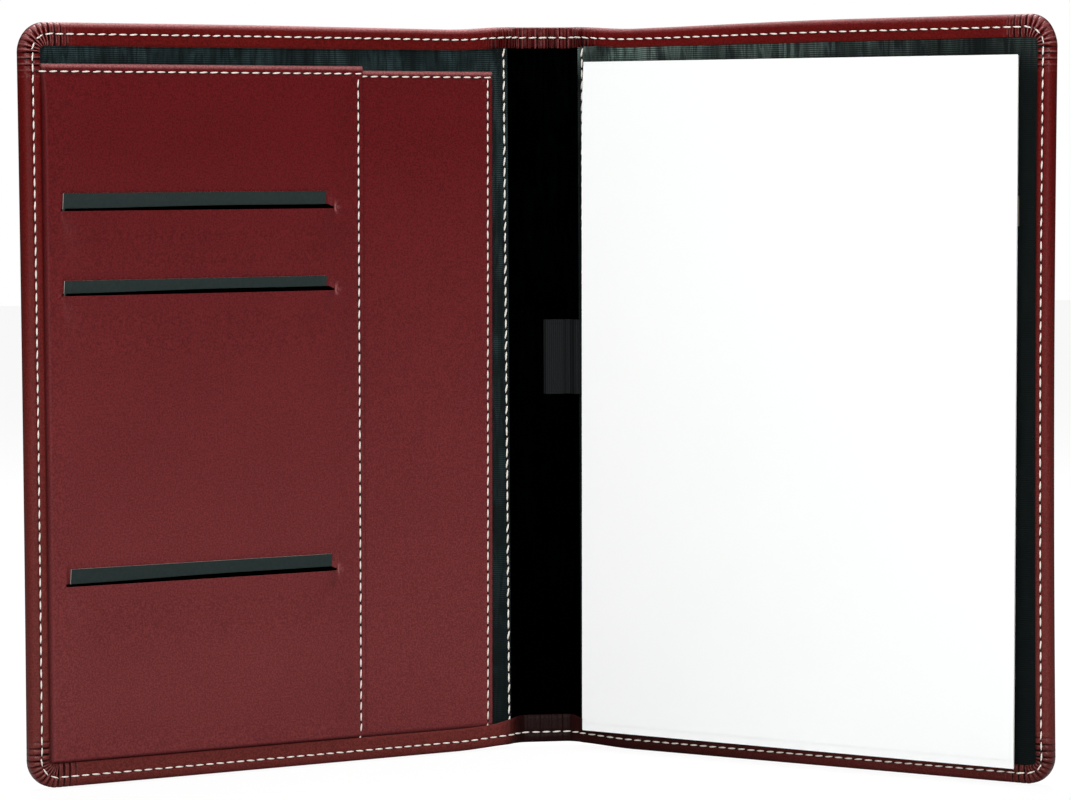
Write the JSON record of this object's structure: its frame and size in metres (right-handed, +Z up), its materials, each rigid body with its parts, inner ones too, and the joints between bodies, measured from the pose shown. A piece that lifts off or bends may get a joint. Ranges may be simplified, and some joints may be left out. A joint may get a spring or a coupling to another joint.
{
  "type": "padfolio",
  "caption": "Padded leather padfolio that opens like a book: card slots over a document pocket face a writing pad, with a pen loop at the soft spine.",
  "frame": {"origin": "middle of the bounding box at the bottom edge that the open padfolio stands on", "axes": "+Z up along the spine, +X to the reader's right, -Y towards the reader and the covers' outer edges"},
  "size_m": [0.3048, 0.09, 0.226],
  "materials": {
    "leather": "satin",
    "panel_leather": "satin",
    "padding": "matte",
    "greyboard": "matte",
    "lining": "ribbed",
    "elastic": "ribbed",
    "card": "satin",
    "paper": "matte"
  },
  "bodies": {
    "spine": {"spine_leather": "leather", "spine_lining": "lining", "pen_loop": "elastic"},
    "front_cover": {"front_leather": "leather", "front_foam": "padding", "front_board": "greyboard", "front_lining": "lining", "document_pocket": "panel_leather", "card_panel": "panel_leather", "lower_card": "card", "lower_card_pouch": "lining", "middle_card": "card", "middle_card_pouch": "lining", "upper_card": "card", "upper_card_pouch": "lining"},
    "back_cover": {"back_leather": "leather", "back_foam": "padding", "back_board": "greyboard", "back_lining": "lining", "pad_backing": "greyboard", "pad_sheets": "paper"}
  },
  "joints": [
    {"name": "front_hinge", "type": "hinge", "parent": "spine", "child": "front_cover", "pos_m": [-0.00908, 0.04115, 0], "axis": [0, 0, 1], "range_deg": [-21, 69]},
    {"name": "back_hinge", "type": "hinge", "parent": "spine", "child": "back_cover", "pos_m": [0.0127, 0.04421, 0], "axis": [0, 0, 1], "range_deg": [-50.5, 39.5]}
  ]
}
